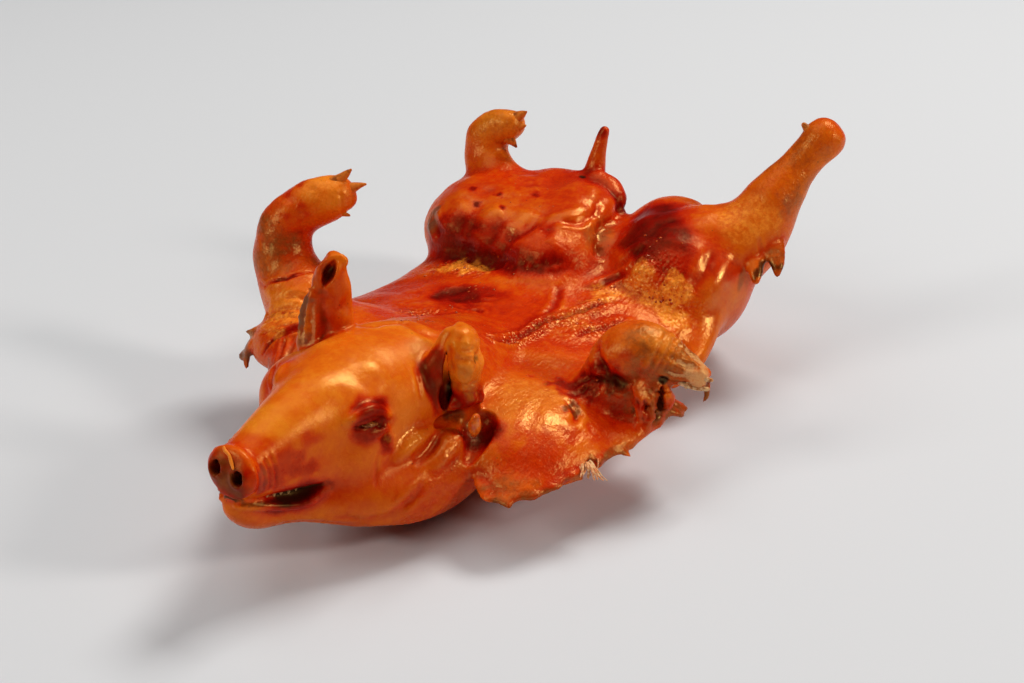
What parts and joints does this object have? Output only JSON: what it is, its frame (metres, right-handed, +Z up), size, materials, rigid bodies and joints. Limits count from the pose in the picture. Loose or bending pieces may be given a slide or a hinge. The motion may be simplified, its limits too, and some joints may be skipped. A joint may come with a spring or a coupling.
{
  "type": "roast suckling pig",
  "caption": "Whole roast suckling pig lying on its opened belly, skin browned and glossy, legs drawn up, snout forward.",
  "frame": {"origin": "on the flat underside of the trunk, at the height of the surface it lies on, under the middle of the back", "axes": "+Z up from the belly to the back, +Y towards the tail, so the snout points along -Y, and +X is the pig's left"},
  "size_m": [0.3813, 0.5544, 0.2011],
  "materials": {
    "roast_skin": "glossy"
  },
  "bodies": {
    "root": {"suckling_pig": "roast_skin"}
  },
  "joints": []
}
